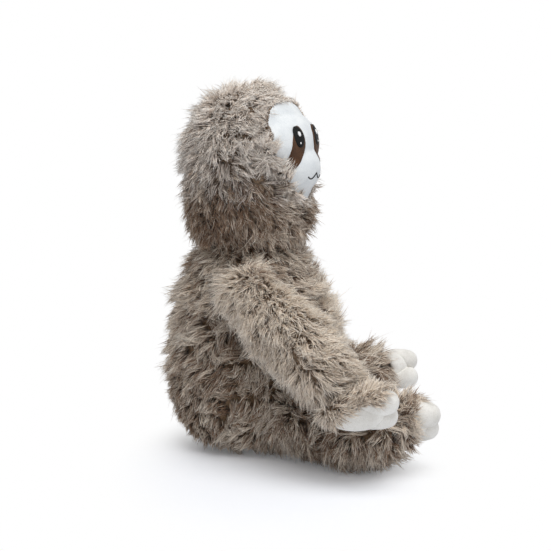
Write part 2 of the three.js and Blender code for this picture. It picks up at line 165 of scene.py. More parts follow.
# White matt paper: it keeps the soft shadow near the sloth and fades to plain white further off.
def addFloor():
    material, tree, surface = newMaterial("paperFloor", {
        "Roughness": 0.9, "Specular IOR Level": 0.1, "Base Color": toLinear(studio["floorColour"])})
    seen = seenRays(tree)
    glow = addNode(tree, "ShaderNodeMath", {0: seen, 1: studio["floorGlow"]}, operation="MULTIPLY")
    lift = addNode(tree, "ShaderNodeEmission", {"Color": plainWhite, "Strength": glow.outputs[0]})
    near = addNode(tree, "ShaderNodeAddShader", {0: surface.outputs[0], 1: lift.outputs[0]})
    place = addNode(tree, "ShaderNodeTexCoord")
    moved = addNode(tree, "ShaderNodeVectorMath", {0: place.outputs["Object"], 1: studio["shadowCentre"]},
                    operation="SUBTRACT")
    shaped = addNode(tree, "ShaderNodeVectorMath", {0: moved.outputs[0], 1: studio["shadowShape"]},
                     operation="MULTIPLY")
    far = addNode(tree, "ShaderNodeVectorMath", {0: shaped.outputs[0]}, operation="LENGTH")
    begin, end = studio["shadowReach"]
    fade = addNode(tree, "ShaderNodeMapRange", {
        "Value": far.outputs["Value"], "From Min": begin, "From Max": end}, interpolation_type="SMOOTHSTEP")
    both = addNode(tree, "ShaderNodeMath", {0: fade.outputs[0], 1: seen}, operation="MULTIPLY")
    white = addNode(tree, "ShaderNodeEmission", {"Color": plainWhite, "Strength": 1})
    mix = addNode(tree, "ShaderNodeMixShader", {0: both.outputs[0], 1: near.outputs[0], 2: white.outputs[0]})
    setInputs(tree, tree.nodes["Material Output"], {"Surface": mix.outputs[0]})
    bpy.ops.mesh.primitive_plane_add(size=studio["floorSize"])
    floor = bpy.context.object
    floor.name = "floor"
    floor.data.materials.append(material)


def deselectAll():
    bpy.ops.object.select_all(action="DESELECT")


def makeActive(piece):
    deselectAll()
    piece.select_set(True)
    bpy.context.view_layer.objects.active = piece


def applyModifier(piece, kind, **settings):
    modifier = piece.modifiers.new(kind, kind)
    for key, value in settings.items():
        setattr(modifier, key, value)
    with bpy.context.temp_override(object=piece, active_object=piece, selected_objects=[piece]):
        bpy.ops.object.modifier_apply(modifier=modifier.name)


def editAll(piece, operator, **settings):  # one edit-mode operator on the whole of a piece
    makeActive(piece)
    bpy.ops.object.mode_set(mode="EDIT")
    bpy.ops.mesh.select_all(action="SELECT")
    operator(**settings)
    bpy.ops.object.mode_set(mode="OBJECT")


def copyNode(node, name):  # a copy of a CAD node's mesh with its loose triangles joined
    piece = addObject(name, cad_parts[node].data.copy())
    piece.data.materials.clear()
    editAll(piece, bpy.ops.mesh.remove_doubles, threshold=0.01 * mm)
    return piece


def furSlot(body):
    return "fur" if body in ("torso", "head") else "limb_fur"


# A finished piece gets its material and its body, and the CAD nodes it stands for are hidden.
def dress(piece, material, body, slot, *nodes):
    piece.data.materials.clear()
    piece.data.materials.append(material)
    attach(piece, body)
    if nodes:
        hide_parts(*nodes)


# Knitted long pile of acrylic: fine matt hairs in locks, dark at the root and pale at the tip, with a pale
# fringe where light grazes them. The head's pile is greyer than the rest. The stops go from root to tip.
furLook = {
    "warm": {"dark": [(0.0, "2e1f16"), (0.35, "5a422f"), (0.7, "8c6e56"), (1.0, "b6987c")],
             "light": [(0.0, "a2876e"), (0.3, "e6d3be"), (0.6, "fdefdd"), (1.0, "fff8ec")]},
    "grey": {"dark": [(0.0, "332217"), (0.35, "59412f"), (0.7, "866c58"), (1.0, "a9917e")],
             "light": [(0.0, "9c8674"), (0.3, "e2d3c4"), (0.6, "fbf0e5"), (1.0, "fffcf5")]},
}


def furMaterial(name, look):  # across the map from dark hair to light, up the map from root to tip
    material, tree, surface = newMaterial(name, {
        "Roughness": 0.7, "Specular IOR Level": 0.3, "Sheen Weight": 0.2, "Sheen Roughness": 0.5})
    place = addNode(tree, "ShaderNodeUVMap", uv_map="OFBake")
    parts = addNode(tree, "ShaderNodeSeparateXYZ", {0: place.outputs[0]})
    dark, light = (addNode(tree, "ShaderNodeValToRGB", {"Fac": parts.outputs["Y"]}, look[shade])
                   for shade in ("dark", "light"))
    mix = addNode(tree, "ShaderNodeMix", {
        "Factor": parts.outputs["X"], "A": dark.outputs[0], "B": light.outputs[0]}, data_type="RGBA")
    setInputs(tree, surface, {"Base Color": mix.outputs["Result"]})
    return material


# The pile's knitted polyester backing, matted with short fibres in clumps of about 3 mm: mottled and quite
# matt, it is the dark depth between the locks.
def backingMaterial(name, deep, pale):
    material, tree, surface = newMaterial(name, {"Roughness": 0.95, "Specular IOR Level": 0.1})
    place = addNode(tree, "ShaderNodeTexCoord")
    noise = addNode(tree, "ShaderNodeTexNoise", {
        "Vector": place.outputs["Object"], "Scale": 350, "Detail": 3, "Roughness": 0.6})
    colour = addNode(tree, "ShaderNodeValToRGB", {"Fac": noise.outputs[0]}, [(0.3, deep), (0.7, pale)])
    bump = addNode(tree, "ShaderNodeBump", {"Height": noise.outputs[0], "Strength": 0.8, "Distance": 0.002})
    setInputs(tree, surface, {"Base Color": colour.outputs["Color"], "Normal": bump.outputs[0]})
    return material


# Short cloth with a fine nap, its size in mm: tiny dents, mottling 11 mm across, no gloss, and a pale edge
# from its sheen. Single fibres of it are too fine to show, so its nap is drawn about as coarse as a pixel.
def napMaterial(name, pale, deep, nap, sheen):
    material, tree, surface = newMaterial(name, {
        "Roughness": 0.92, "Specular IOR Level": 0.15, "Sheen Weight": sheen, "Sheen Roughness": 0.6})
    place = addNode(tree, "ShaderNodeTexCoord")
    fine = addNode(tree, "ShaderNodeTexNoise", {
        "Vector": place.outputs["Object"], "Scale": 1 / (nap * mm), "Detail": 4, "Roughness": 0.65})
    broad = addNode(tree, "ShaderNodeTexNoise", {"Vector": place.outputs["Object"], "Scale": 90, "Detail": 2})
    both = addNode(tree, "ShaderNodeMath", {0: fine.outputs[0], 1: broad.outputs[0]}, operation="ADD")
    spread = addNode(tree, "ShaderNodeMapRange", {
        "Value": both.outputs[0], "From Min": 0.75, "From Max": 1.2})
    colour = addNode(tree, "ShaderNodeValToRGB", {"Fac": spread.outputs[0]}, [(0.0, deep), (1.0, pale)])
    bump = addNode(tree, "ShaderNodeBump", {
        "Height": fine.outputs[0], "Strength": 0.35, "Distance": nap * mm})
    setInputs(tree, surface, {"Base Color": colour.outputs["Color"], "Normal": bump.outputs[0]})
    return material


# Satin stitch: parallel polyester threads, fine ridges with a soft gloss. They lie 0.4 mm apart, which is
# too fine to show, so they are drawn 0.8 mm apart. A wave texture of scale 1 repeats every tenth of pi.
stitch = {"spacing": 0.7854, "repeat": math.pi / 10}


def stitchMaterial(name, colourHex, roughness, direction="X"):
    material, tree, surface = newMaterial(name, {
        "Roughness": roughness, "Specular IOR Level": 0.2, "Base Color": toLinear(colourHex)})
    place = addNode(tree, "ShaderNodeTexCoord")
    threads = addNode(tree, "ShaderNodeTexWave", {
        "Vector": place.outputs["Object"], "Scale": stitch["repeat"] / (stitch["spacing"] * mm),
        "Distortion": 1.5, "Detail": 2}, bands_direction=direction)
    bump = addNode(tree, "ShaderNodeBump", {
        "Height": threads.outputs["Fac"], "Strength": 0.4, "Distance": 0.0003})
    setInputs(tree, surface, {"Normal": bump.outputs[0]})
    return material


# Each body's fabric: the stuffed form of its CAD nodes as one skin, sunk by the pile's packed depth.
backing = {"sink": 7.5, "voxel": 3.5, "smooth": 10}
# Balls fill the torso's hollows at the arms and legs: the left ones' places and radius in mm.
jointBalls = {"shoulder": (57, -1, 133, 26), "hip": (47, -40, 32, 29)}


def addBall(joint, sign):
    x, y, z, radius = jointBalls[joint]
    deselectAll()
    bpy.ops.mesh.primitive_uv_sphere_add(
        segments=32, ring_count=20, radius=radius * mm, location=(sign * x * mm, y * mm, z * mm))
    return bpy.context.object


def joinAll(pieces, name):
    deselectAll()
    for piece in pieces:
        piece.select_set(True)
    bpy.context.view_layer.objects.active = pieces[0]
    bpy.ops.object.join()
    piece = pieces[0]
    bpy.ops.object.transform_apply(location=True, rotation=True, scale=True)
    piece.name = piece.data.name = name
    return piece


easing = {"factor": 0.5, "lastPasses": 3}  # the last passes even out the move


def softForm(piece, voxel, smooth, grow):  # one smooth closed skin, moved out or in by some mm
    applyModifier(piece, "REMESH", mode="VOXEL", voxel_size=voxel * mm)
    applyModifier(piece, "SMOOTH", factor=easing["factor"], iterations=smooth)
    applyModifier(piece, "DISPLACE", strength=grow * mm, mid_level=0)
    applyModifier(piece, "SMOOTH", factor=easing["factor"], iterations=easing["lastPasses"])
    applyModifier(piece, "TRIANGULATE")
    piece.data.shade_smooth()
    return piece


def fabricGround(name, nodes, balls=()):
    pieces = [copyNode(node, name) for node in nodes] + [addBall(*ball) for ball in balls]
    return softForm(joinAll(pieces, name), backing["voxel"], backing["smooth"], -backing["sink"])


def readAll(items, key, kind=np.float32):  # the three numbers that each item has under a key
    numbers = np.empty(len(items) * 3, kind)
    items.foreach_get(key, numbers)
    return numbers.reshape(-1, 3)


def meshArrays(piece):  # corner places and corner normals of every triangle
    mesh = piece.data
    corner = readAll(mesh.polygons, "vertices", np.int32)
    place, normal = readAll(mesh.vertices, "co"), readAll(mesh.vertex_normals, "vector")
    return place[corner].astype(float), normal[corner].astype(float)


def unit(vectors):
    return vectors / np.maximum(np.linalg.norm(vectors, axis=-1, keepdims=True), 1e-9)


def thinOut(where, spacing):  # which places stay when none may lie nearer than the spacing
    cells, kept = {}, []
    keys = np.floor(where / spacing).astype(int)
    around = [(x, y, z) for x in (-1, 0, 1) for y in (-1, 0, 1) for z in (-1, 0, 1)]
    for index, key in enumerate(map(tuple, keys)):
        near = [other for x, y, z in around for other in cells.get((key[0] + x, key[1] + y, key[2] + z), ())]
        if near and (((where[near] - where[index]) ** 2).sum(1) < spacing ** 2).any():
            continue
        cells.setdefault(key, []).append(index)
        kept.append(index)
    return np.array(kept)


# Random places on a piece, about a spacing apart: some are tried for each one that is kept.
scatter = {"tries": 5, "nearest": 0.85}


def scatterLocks(piece, spacing, rng):
    place, normal = meshArrays(piece)
    area = np.linalg.norm(np.cross(place[:, 1] - place[:, 0], place[:, 2] - place[:, 0]), axis=1) / 2
    count = int(area.sum() / spacing ** 2 * scatter["tries"])
    face = rng.choice(len(area), count, p=area / area.sum())
    a, b = rng.random(count), rng.random(count)
    over = a + b > 1
    a[over], b[over] = 1 - a[over], 1 - b[over]
    weight = np.stack([1 - a - b, a, b], 1)[:, :, None]
    where = (place[face] * weight).sum(1)
    facing = unit((normal[face] * weight).sum(1))
    kept = thinOut(where, spacing * scatter["nearest"])
    return where[kept], facing[kept]


swirls = {"waves": 8, "divider": 2.8}  # the divider brings the sum of the waves to about 1


def swirl(where, lay):  # a slow random field of directions, so that neighbours lie alike
    rng = np.random.default_rng(lay["seed"])
    total = np.zeros_like(where)
    for _ in range(swirls["waves"]):
        wave = rng.normal(size=3) / (lay["size"] * mm)
        phase = rng.uniform(0, 2 * math.pi)
        total += np.sin(where @ wave + phase)[:, None] * rng.normal(size=3)
    return total / swirls["divider"]


placesAtOnce = 60  # how many places are held against all triangles together, which spares memory


def enclosed(where, place):  # which places the triangles wrap all round
    low, high = place.min((0, 1)), place.max((0, 1))
    inside = ((where > low) & (where < high)).all(1)
    boxed = np.flatnonzero(inside)
    for chosen in np.array_split(boxed, len(boxed) // placesAtOnce + 1):
        a, b, c = (place[None, :, corner] - where[chosen, None] for corner in range(3))
        la, lb, lc = (np.linalg.norm(way, axis=2) for way in (a, b, c))
        volume = (a * np.cross(b, c)).sum(2)
        spread = la * lb * lc + (a * b).sum(2) * lc + (b * c).sum(2) * la + (c * a).sum(2) * lb
        inside[chosen] = np.arctan2(volume, spread).sum(1) > math.pi
    return inside


def depthInside(where, others):  # how deep places lie inside the nearest of other grounds, in metres
    deepest = np.full(len(where), -1.0)
    for other in others:
        tree = BVHTree.FromObject(other, bpy.context.evaluated_depsgraph_get())
        for index in np.flatnonzero(enclosed(where, meshArrays(other)[0])):
            deepest[index] = max(deepest[index], tree.find_nearest(Vector(where[index]))[3])
    return deepest


# A comb lays the pile near a place: along a way, away from the place or toward it. It can change the pile's
# tone, its length in mm and its lean in degrees.
def comb(at, reach, way=None, pull=1, tone=0, length=0, lean=0, alone=False):
    return {"at": at, "reach": reach, "way": way, "pull": pull, "tone": tone, "length": length, "lean": lean,
            "alone": alone}


def combed(where, base, combs):
    flow = np.array(np.broadcast_to(base, where.shape), float)
    change = {key: np.zeros(len(where)) for key in ("tone", "length", "lean")}
    for each in combs:
        apart = where - np.array(each["at"]) * mm
        weight = np.exp(-(apart ** 2).sum(1) / (2 * (each["reach"] * mm) ** 2))
        way = each["way"]
        if way is not None:
            if isinstance(way, str):
                lay = unit(apart) * (1 if way == "away" else -1)
            else:
                lay = unit(np.array(way, float))[None]
            pull = (weight * each["pull"])[:, None]
            flow = flow * (1 - np.minimum(pull, 1)) + lay * pull
        for key in change:
            change[key] += weight * each[key]
    return flow, change


# What all hairs share, sizes in mm and leans in degrees. Guard hairs have two rings of corners, under hairs
# one. A pair is the least and the most that a hair or a lock gets, but for the rings.
hair = {
    "steps": np.array([0.0, 0.36, 0.72, 1.0]),  # shares of its length at which a hair's line is worked out
    "guardRings": (0.36, 0.72),
    "underRings": (0.5,),
    "underMiddle": 0.45,  # where an under hair's ring lies, from the second step to the third
    "ringShares": (1.0, 0.72),
    "leans": (3, 80),
    "bendSpread": 12,
    "lengths": (5, 26),
    "lockShares": (0.85, 1.1),
    "hairShares": (0.68, 1.06),
    "thicknesses": (0.7, 1.25),
    "clumps": (0.6, 1.15),
    "underClump": 0.5,
    "underLeans": (0.3, 1),
    "strayPower": 1.5,
    "gatherPower": 1.3,
    "clumpPower": 1.2,
    "rootDepth": 1,
    "lowest": 0.2,
    "floorGap": 0.4,
    "floorSpread": 0.8,
    "palest": 0.96,
    "mapWidth": 0.03,
}
# A loose hair strays from its lock, longer, thinner and paler than the rest.
looseHair = {"share": 1.2, "clump": 0.1, "stray": 2, "thickness": 0.6, "tone": 0.15}


# One closed hair: a root point, its rings of three corners and a tip, with its corners' places on the map.
def strandTemplate(steps):
    last = 3 * len(steps) + 1
    faces, across, up = [], [], []
    for side in range(3):
        after = (side + 1) % 3
        left, middle, right = side / 3, (side + 0.5) / 3, (side + 1) / 3
        faces.append((0, 1 + after, 1 + side))
        across.append((middle, right, left))
        up.append((0, steps[0], steps[0]))
        for ring in range(len(steps) - 1):
            a, b = 1 + ring * 3 + side, 1 + ring * 3 + after
            low, high = steps[ring], steps[ring + 1]
            faces += [(a, b, b + 3), (a, b + 3, a + 3)]
            across += [(left, right, right), (left, right, left)]
            up += [(low, low, high), (low, high, high)]
        faces.append((last - 3 + side, last - 3 + after, last))
        across.append((left, right, middle))
        up.append((steps[-1], steps[-1], 1))
    return np.array(faces), np.array(across), np.array(up)


def turnAbout(vectors, axes, angles):
    cos, sin = np.cos(angles)[:, None], np.sin(angles)[:, None]
    along = (vectors * axes).sum(1, keepdims=True)
    return vectors * cos + np.cross(axes, vectors) * sin + axes * along * (1 - cos)


# Locks stand in tufts that share a direction. A lock's hairs start apart and meet towards its tip.
def lockGuides(where, facing, flow, change, look, rng):
    centres = where[thinOut(where, look["tuft"] * mm)]
    tree = KDTree(len(centres))
    for index, centre in enumerate(centres):
        tree.insert(Vector(centre), index)
    tree.balance()
    tuft = np.array([tree.find(Vector(point))[1] for point in where])
    flow = unit(flow - (flow * facing).sum(1, keepdims=True) * facing)
    turn = rng.normal(0, math.radians(look["tuftTurn"]), len(centres))[tuft]
    flow = turnAbout(flow, facing, turn + rng.normal(0, math.radians(look["lockTurn"]), len(where)))
    lean = look["lean"] + change["lean"] + rng.normal(0, look["leanSpread"], len(centres))[tuft]
    lean = np.radians(np.clip(lean + rng.normal(0, look["leanSpread"] / 2, len(where)), *hair["leans"]))
    length = look["length"] + change["length"] + rng.normal(0, look["lengthSpread"], len(centres))[tuft]
    length = np.clip(length * rng.uniform(*hair["lockShares"], len(where)), *hair["lengths"]) * mm
    tone = look["tone"] + change["tone"] + rng.normal(0, look["tuftTone"], len(centres))[tuft]
    gather = centres[tuft] - where
    gather = (gather - (gather * facing).sum(1, keepdims=True) * facing) * look["tuftPull"]
    return flow, lean, length, tone, gather


def strandPoints(where, facing, guides, look, rng):
    flow, lean, length, _, gather = guides
    locks, each = len(where), look["strands"] + look["under"]
    across = np.cross(facing, flow)
    bend = np.radians(rng.normal(look["bend"], hair["bendSpread"], locks))
    curl = rng.normal(0, look["curl"], locks)
    radius = look["lockRadius"] * mm * np.sqrt(rng.random((locks, each)))
    turn = rng.uniform(0, 2 * math.pi, (locks, each))
    along, aside = (radius * np.cos(turn))[..., None], (radius * np.sin(turn))[..., None]
    offset = along * flow[:, None] + aside * across[:, None]
    share = rng.uniform(*hair["hairShares"], (locks, each))
    share[:, look["strands"]:] *= look["underShare"]
    loose = rng.random((locks, each)) < look["loose"]
    share = np.where(loose, share * looseHair["share"], share)
    clump = np.where(loose, looseHair["clump"], look["clump"])[..., None]
    clump = clump * rng.uniform(*hair["clumps"], (locks, 1, 1))
    clump[:, look["strands"]:] *= hair["underClump"]
    upright = np.where(np.arange(each) < look["strands"], 1, rng.uniform(*hair["underLeans"], (locks, each)))
    stray = rng.normal(0, look["stray"], (locks, each, 3)) * np.where(loose, looseHair["stray"], 1)[..., None]
    points = np.empty((locks, each, len(hair["steps"]), 3))
    for index, step in enumerate(hair["steps"]):
        t = step * share
        angle = (lean[:, None] + bend[:, None] * t / 2) * upright
        out, over = (np.cos(angle) * t)[..., None], (np.sin(angle) * t)[..., None]
        guide = out * facing[:, None] + over * flow[:, None]
        curled = (curl[:, None] * t ** 2)[..., None] * across[:, None]
        guide += curled + stray * (t ** hair["strayPower"])[..., None]
        reach = guide * length[:, None, None] + gather[:, None] * (t ** hair["gatherPower"])[..., None]
        points[:, :, index] = where[:, None] + reach + offset * (1 - clump * step ** hair["clumpPower"])
    points[:, :, 0] -= facing[:, None] * hair["rootDepth"] * mm
    return points, loose


# Corners, faces and map places of hairs with their rings at the given steps of their length.
def hairParts(points, outward, thick, tone, steps):
    count, corners = len(points), 3 * len(steps) + 2
    spots = np.empty((count, corners, 3))
    spots[:, 0], spots[:, -1] = points[:, 0], points[:, -1]
    for ring in range(len(steps)):
        along = unit(points[:, ring + 2] - points[:, ring])
        side = unit(np.cross(along, outward) + 1e-6)
        over = np.cross(side, along)
        reach = (thick * hair["ringShares"][ring])[:, None]
        for corner in range(3):
            angle = 2 * math.pi * corner / 3
            spots[:, 1 + ring * 3 + corner] = points[:, ring + 1] + reach * (
                math.cos(angle) * side + math.sin(angle) * over)
    spots[..., 2] = np.maximum(spots[..., 2], hair["lowest"] * mm)
    faces, acrossMap, upMap = strandTemplate(steps)
    maps = np.empty((count, len(faces), 3, 2))
    maps[..., 0] = tone[:, None, None] + acrossMap[None] * hair["mapWidth"]
    maps[..., 1] = upMap[None]
    corner = faces[None] + (np.arange(count) * corners)[:, None, None]
    return spots.reshape(-1, 3), corner.reshape(-1, 3), maps.reshape(-1, 2)


# No operator can lay so many hairs, so their mesh is made from arrays.
def hairMesh(name, parts):
    spots = np.concatenate([part[0] for part in parts])
    starts = np.cumsum([0] + [len(part[0]) for part in parts])
    corner = np.concatenate([part[1] + start for part, start in zip(parts, starts)])
    maps = np.concatenate([part[2] for part in parts])
    total = len(corner)
    mesh = bpy.data.meshes.new(name)
    mesh.vertices.add(len(spots))
    mesh.vertices.foreach_set("co", spots.astype(np.float32).ravel())
    mesh.loops.add(total * 3)
    mesh.loops.foreach_set("vertex_index", corner.astype(np.int32).ravel())
    mesh.polygons.add(total)
    mesh.polygons.foreach_set("loop_start", np.arange(0, total * 3, 3, dtype=np.int32))
    mesh.polygons.foreach_set("use_smooth", np.ones(total, bool))
    mesh.update(calc_edges=True)
    layer = mesh.uv_layers.new(name="OFBake")
    layer.uv.foreach_set("vector", maps.astype(np.float32).ravel())
    mesh.validate()
    return addObject(name, mesh)


pieceLimit = 190000  # triangles, past which a pile is split from front to back
backTrim = 80.5  # hairs behind the back are cut off at this place along Y, in mm


def growPile(name, where, facing, flow, change, look, rng):
    guides = lockGuides(where, facing, flow, change, look, rng)
    points, loose = strandPoints(where, facing, guides, look, rng)
    root, tip = points[:, :, :1], points[:, :, -1:]
    share = (backTrim * mm - root[..., 1]) / np.maximum(tip[..., 1] - root[..., 1], 1e-6)
    points = root + (points - root) * np.clip(share, 0, 1)[..., None]
    locks, guards, each = len(where), look["strands"], look["strands"] + look["under"]
    floorGap = (hair["floorGap"] + hair["floorSpread"] * rng.random((locks, each, 1))) * mm
    points[..., 2] = np.maximum(points[..., 2], floorGap)
    tone = guides[3][:, None] + rng.normal(0, look["lockTone"], (locks, 1))
    tone = tone + rng.normal(0, look["strandTone"], (locks, each)) + looseHair["tone"] * loose
    tone[:, guards:] += look["underTone"]
    tone = np.clip(tone, 0.0, hair["palest"])
    thick = look["width"] / 2 * mm * rng.uniform(*hair["thicknesses"], (locks, each))
    thick = thick * np.where(loose, looseHair["thickness"], 1)
    short = points[:, guards:]
    middle = short[:, :, 1:2] * (1 - hair["underMiddle"]) + short[:, :, 2:3] * hair["underMiddle"]
    short = np.concatenate([short[:, :, :1], middle, short[:, :, 3:]], 2)
    kinds = [(points[:, :guards], slice(0, guards), hair["guardRings"]),
             (short, slice(guards, each), hair["underRings"])]
    triangles = sum(line.shape[1] * len(strandTemplate(rings)[0]) for line, _, rings in kinds)
    split = math.ceil(locks * triangles / pieceLimit)
    pieces = []
    for part, chosen in enumerate(np.array_split(np.argsort(where[:, 1]), split)):
        parts = [hairParts(line[chosen].reshape(-1, line.shape[2], 3),
                           np.repeat(facing[chosen], line.shape[1], 0),
                           thick[chosen, which].ravel(), tone[chosen, which].ravel(), rings)
                 for line, which, rings in kinds]
        pieces.append(hairMesh(name if split == 1 else f"{name}_{part + 1}", parts))
        print(pieces[-1].name, len(chosen), "locks,", len(pieces[-1].data.polygons), "triangles")
    return pieces


bpy.context.scene.view_settings.view_transform = "Standard"
addCamera()
addLights()
addFloor()
print("camera, lights and floor made")

warmFur = furMaterial("acrylicPile", furLook["warm"])
greyFur = furMaterial("greyerAcrylicPile", furLook["grey"])
ground = backingMaterial("pileBacking", "57442f", "8a725b")
paleGround = backingMaterial("palePileBacking", "8f7963", "b8a28c")
# Loose crimped polyester fibre: white and fluffy, with the softest edges.
wadding = napMaterial("polyesterWadding", "f6f5f0", "d9d8d2", 3.0, 0.4)
# Plain woven cotton, unbleached: cream and dull.
calico = napMaterial("calico", "d8d0bf", "b3a993", 0.8, 0.1)
# Minky, a brushed polyester knit: an even short nap with a pale sheen at its edges, dark and dull on the
# patches.
minky = napMaterial("whiteMinky", "edf0f1", "dce1e4", 0.9, 0.25)
creamMinky = napMaterial("creamMinky", "f2f0eb", "dedbd4", 0.9, 0.25)
brownMinky = napMaterial("brownMinky", "5d402c", "3d291c", 0.7, 0.1)
blackStitch = stitchMaterial("blackSatinStitch", "040405", 0.6)
whiteStitch = stitchMaterial("whiteSatinStitch", "fbfbfb", 0.45)
# The neck's sewing thread, brown and hidden in the fur, has its twist as slanting ridges.
seamThread = stitchMaterial("polyesterSeamThread", "6b5e52", 0.6, "DIAGONAL")

groundNodes = {
    "torso": (["torso_cover", "torso_stuffing", "seat_pellet_bag"],
              [(joint, sign) for joint in jointBalls for sign in sides.values()]),
    "head": (["head_cover", "head_stuffing", "face_panel"], []),
}
for side in sides:
    for limb in ("arm", "leg"):
        groundNodes[f"{side}_{limb}"] = ([f"{side}_{limb}_cover", f"{side}_{limb}_stuffing"], [])
grounds = {body: fabricGround(f"{body}_fabric", nodes, balls) for body, (nodes, balls) in groundNodes.items()}
for body, piece in grounds.items():
    cloth = paleGround if body == "head" or "arm" in body else ground
    dress(piece, cloth, body, furSlot(body), f"{body}_cover")
print("fabric grounds made")

# The stuffing fills each skin loosely, and the pellet bag lies in the seat.
filling = {"voxel": 4.0, "smooth": 6, "grow": -4.0, "lump": 1.6, "lumpSize": 18}
pellets = {"voxel": 2.0, "smooth": 4, "grow": -0.5, "lump": 0.8, "lumpSize": 4}


def lumpyForm(node, name, look):
    piece = softForm(copyNode(node, name), look["voxel"], look["smooth"], look["grow"])
    texture = bpy.data.textures.new(name + "Lumps", "CLOUDS")
    texture.noise_scale = look["lumpSize"] * mm
    applyModifier(piece, "DISPLACE", texture=texture, texture_coords="LOCAL", strength=look["lump"] * mm,
                  mid_level=0.5)
    return piece


for body in grounds:
    piece = lumpyForm(f"{body}_stuffing", f"{body}_wadding", filling)
    dress(piece, wadding, body, "filling", f"{body}_stuffing")
bag = lumpyForm("seat_pellet_bag", "seat_pellet_bag_calico", pellets)
dress(bag, calico, "torso", "pellets", "seat_pellet_bag")
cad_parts["neck_seam_thread"].data.materials.clear()
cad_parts["neck_seam_thread"].data.materials.append(seamThread)
print("stuffing and pellet bag made")

# The face: places are given in the head's own directions, across to its left and up.
headTurn = np.array(Matrix.Rotation(math.radians(-30), 3, "Z"))
face = {
    "halfWidth": 37,
    "bottom": 203,
    "height": 78,
    "edgeShares": [(0, 1), (0.35, 0.99), (0.63, 0.93), (0.84, 0.81), (0.985, 0.63), (1, 0.51), (0.82, 0.345),
                   (0.5, 0.13), (0.18, 0.01), (0, 0)],
    "voxel": 1.2,
    "smooth": 14,
    "grow": 0.5,
    "ahead": 200,  # how far in front of it the layers are dropped on it
}
# Combs are placed in mm, the head's in its own directions, the others in the sloth's, and the limbs' on its
# right. The head's and the torso's are mirrored, but for those in the middle and those that stand alone.
headCombs = [
    comb((-48, 0, 262), 24, (0.3, -0.7, -0.7), tone=0.18, length=1),
    comb((-44, -24, 252), 10, lean=-8, tone=0.1),
    comb((-50, -14, 238), 12, (0.4, -1, -0.15), pull=1.2, length=2),
    comb((-47, -28, 217), 10, "toward", pull=0.9, tone=-0.15, length=1),
    comb((-30, 42, 235), 30, (0, 0.5, -1), pull=0.9, lean=-8),
    comb((0, 5, 290), 20, (0, -1, -0.3), pull=0.9, tone=0.12),
    comb((-6, 22, 291), 8, (0, 0.8, 0.6), lean=-18, length=1, tone=0.12),
    comb((-3, -34, 286), 9, (0, -1, 0.4), lean=-18, length=3, tone=0.25),
    comb((-34, -36, 268), 11, (-1, 0.7, -0.5), pull=1.2, lean=14, length=-2, tone=0.1),
    comb((-41, -36, 228), 7, (0.9, -0.5, 0.9), pull=2.6, lean=8, length=3, tone=0.5, alone=True),
    comb((24, -34, 278), 17, (0.6, 1, 0.1), pull=2, lean=34, length=-8, alone=True),
    comb((22, -42, 216), 9, lean=28, length=-6, alone=True),
    comb((-25, -46, 212), 9, (0.4, -0.4, 1), pull=1.4, tone=0.3),
    comb((-12, -48, 201), 9, (0.1, -0.8, 1), pull=1.6, lean=-6, length=1, tone=0.1),
    # The next combs darken the head's lower side and back towards the neck: painted shade under the head.
    comb((-50, -18, 203), 14, (0, 0.4, -1), pull=0.9, tone=-0.3),
    comb((-38, -38, 197), 12, (0.3, -0.4, -1), tone=-0.1),
    comb((-20, -48, 190), 12, (0.5, -1, -0.7), tone=-0.15),
    comb((-45, 6, 190), 28, (0.2, -0.6, -0.9), pull=0.8, tone=-0.7),
    # Darker under the chin where the head meets the neck: painted shade under the head.
    comb((0, 0, 170), 26, (0, 0, -1), pull=0.6, tone=-0.3, length=-1),
]
# Pale tufts at the cheek and the chin lie over the edge of the face.
tuftCombs = [
    comb((-39, -34, 234), 8, (1, -0.7, 0.5), pull=4, lean=-30, length=7, tone=0.3),
    comb((-29, -44, 213), 9, (0.6, -0.7, 1), pull=4, lean=-30, length=7, tone=0.2),
    comb((-21, -46, 207), 7, (0.3, -0.7, 1), pull=4, lean=-28, length=6, tone=0.25),
    comb((26, -36, 272), 20, lean=16, length=-4),
    comb((20, -46, 212), 12, lean=18, length=-4),
]
torsoCombs = [
    comb((0, 70, 95), 40, (0, 0.45, -1), pull=0.9, lean=-6),
    # The collar under the head is darker: painted shade under the head.
    comb((0, 0, 170), 26, (0, 0, -1), tone=-0.42, length=-2, lean=-8),
    # The belly's front is paler where the light falls on it: painted light.
    comb((-25, -66, 100), 36, (-0.1, -1, 0.35), tone=0.28, lean=-14),
    comb((0, 52, 162), 18, (0, 0.3, -1), lean=-14, length=3),
    # Darker behind and under the arm, where the torso meets it: painted shade between arm and body.
    comb((-62, 24, 100), 14, (0, 0.4, -1), tone=-0.45, length=-4),
    comb((-66, 10, 55), 20, (0, 0.6, -0.8), tone=-0.35, length=-3),
    comb((-72, -34, 122), 12, (0, -0.6, -0.8), length=1),
    # The seat's pile is darker low down by the floor: painted shade.
    comb((-50, 34, 25), 30, tone=-0.27, length=-4, lean=-14),
    comb((0, 62, 20), 32, tone=-0.15, length=-4, lean=-14),
]
